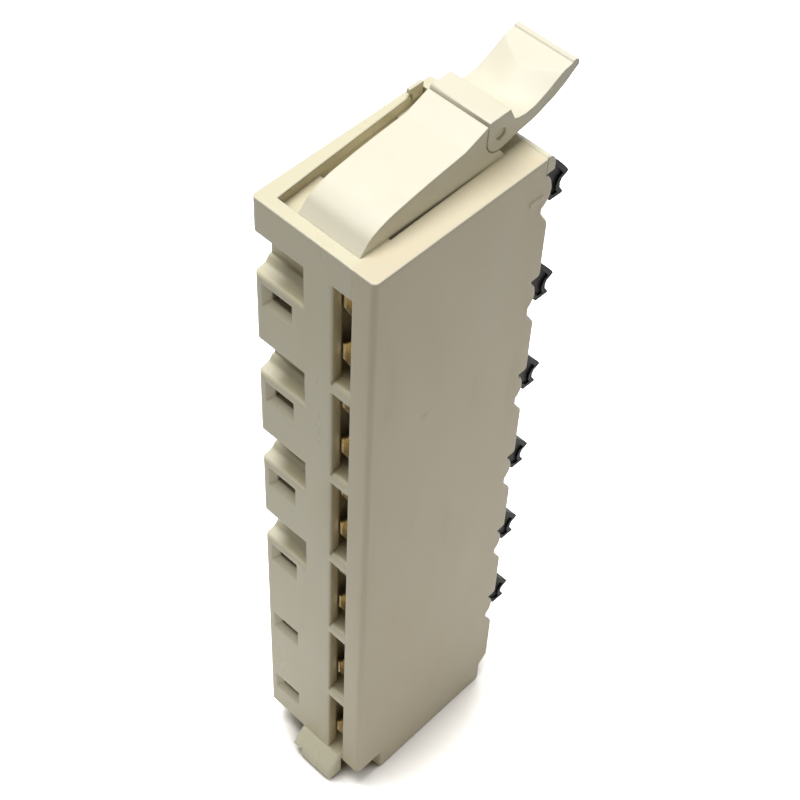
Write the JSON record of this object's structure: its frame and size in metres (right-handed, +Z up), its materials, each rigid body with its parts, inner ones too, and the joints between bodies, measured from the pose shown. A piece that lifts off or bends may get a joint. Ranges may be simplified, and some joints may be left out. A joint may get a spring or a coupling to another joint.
{
  "type": "pluggable terminal block",
  "caption": "Tall plug-in terminal block with slotted plug face and coding notches, black spring-clamp rockers behind, a ramp with thumb lever on top and a hook at the foot.",
  "frame": {"origin": "centre of the body's flat lower end, where the block stands", "axes": "+Z up along the body towards the thumb lever, -Y out of the plug face, +Y out of the wiring face, +X out of the plain side cover"},
  "size_m": [0.0248, 0.0509, 0.1584],
  "materials": {
    "ivory_plastic": "satin",
    "ivory_cover": "satin",
    "ivory_light": "satin",
    "ivory_warm": "satin",
    "rocker_black": "satin",
    "pin_steel": "satin",
    "contact_brass": "polished"
  },
  "bodies": {
    "block": {"housing": "ivory_plastic", "side_cover": "ivory_cover", "latch_ramp": "ivory_light", "thumb_lever_pin": "ivory_light", "foot_hook": "ivory_warm", "contact_1_upper": "contact_brass", "contact_1_lower": "contact_brass", "contact_2_upper": "contact_brass", "contact_2_lower": "contact_brass", "contact_3_upper": "contact_brass", "contact_3_lower": "contact_brass", "contact_4_upper": "contact_brass", "contact_4_lower": "contact_brass", "contact_5_upper": "contact_brass", "contact_5_lower": "contact_brass", "contact_6_upper": "contact_brass", "contact_6_lower": "contact_brass", "rocker_pin_1": "pin_steel", "rocker_pin_2": "pin_steel", "rocker_pin_3": "pin_steel", "rocker_pin_4": "pin_steel", "rocker_pin_5": "pin_steel", "rocker_pin_6": "pin_steel"},
    "thumb_lever": {"thumb_lever": "ivory_light"},
    "rocker_1": {"rocker_1": "rocker_black"},
    "rocker_2": {"rocker_2": "rocker_black"},
    "rocker_3": {"rocker_3": "rocker_black"},
    "rocker_4": {"rocker_4": "rocker_black"},
    "rocker_5": {"rocker_5": "rocker_black"},
    "rocker_6": {"rocker_6": "rocker_black"}
  },
  "joints": [
    {"name": "thumb_lever_hinge", "type": "hinge", "parent": "block", "child": "thumb_lever", "pos_m": [0.0014, 0.0118, 0.1539], "axis": [1, 0, 0], "range_deg": [-20, 0]},
    {"name": "rocker_1_hinge", "type": "hinge", "parent": "block", "child": "rocker_1", "pos_m": [0.001, 0.0149, 0.1421], "axis": [1, 0, 0], "range_deg": [-20, 0], "stiffness_Nm_per_rad": 0.012},
    {"name": "rocker_2_hinge", "type": "hinge", "parent": "block", "child": "rocker_2", "pos_m": [0.001, 0.0149, 0.11924], "axis": [1, 0, 0], "range_deg": [-20, 0], "stiffness_Nm_per_rad": 0.012},
    {"name": "rocker_3_hinge", "type": "hinge", "parent": "block", "child": "rocker_3", "pos_m": [0.001, 0.0149, 0.09638], "axis": [1, 0, 0], "range_deg": [-20, 0], "stiffness_Nm_per_rad": 0.012},
    {"name": "rocker_4_hinge", "type": "hinge", "parent": "block", "child": "rocker_4", "pos_m": [0.001, 0.0149, 0.07352], "axis": [1, 0, 0], "range_deg": [-20, 0], "stiffness_Nm_per_rad": 0.012},
    {"name": "rocker_5_hinge", "type": "hinge", "parent": "block", "child": "rocker_5", "pos_m": [0.001, 0.0149, 0.05066], "axis": [1, 0, 0], "range_deg": [-20, 0], "stiffness_Nm_per_rad": 0.012},
    {"name": "rocker_6_hinge", "type": "hinge", "parent": "block", "child": "rocker_6", "pos_m": [0.001, 0.0149, 0.0278], "axis": [1, 0, 0], "range_deg": [-20, 0], "stiffness_Nm_per_rad": 0.012}
  ]
}
